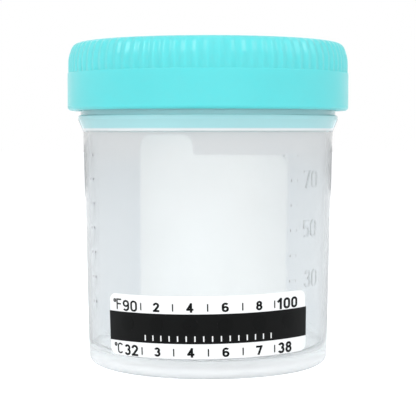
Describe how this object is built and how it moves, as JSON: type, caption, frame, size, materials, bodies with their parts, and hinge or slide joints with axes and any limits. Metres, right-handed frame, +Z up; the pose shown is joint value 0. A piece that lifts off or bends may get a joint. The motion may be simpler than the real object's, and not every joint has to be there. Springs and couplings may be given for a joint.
{
  "type": "specimen container",
  "caption": "Translucent specimen container with a ribbed aqua screw lid, a temperature strip on the front and a writing label on the back.",
  "frame": {"origin": "centre of the foot ring's contact plane, on the cup's axis", "axes": "+Z up along the cup's axis, -Y the front with the temperature strip, +X to the right of someone who looks at the front"},
  "size_m": [0.06, 0.06, 0.068],
  "materials": {
    "cup_plastic": "translucent natural polypropylene, smooth",
    "lid_plastic": "aqua polypropylene, satin",
    "disc_foam": "white polyethylene foam",
    "strip_film": "white film with a black printed band",
    "label_paper": "white writing paper, plain"
  },
  "bodies": {
    "cup": {"cup": "cup_plastic", "temperature_strip": "strip_film", "rear_label": "label_paper"},
    "seal": {"sealing_disc": "disc_foam"},
    "lid": {"lid": "lid_plastic"}
  },
  "joints": [
    {"name": "lid_lift", "type": "slide", "parent": "cup", "child": "seal", "axis": [0, 0, 1], "range_m": [0, 0.012]},
    {"name": "lid_turn", "type": "hinge", "parent": "seal", "child": "lid", "pos_m": [0, 0, 0.068], "axis": [0, 0, 1], "range_deg": [0, 540]}
  ],
  "couplings": [
    {"joint": "lid_lift", "follows": "lid_turn", "m_per_rad": 0.0012732}
  ]
}
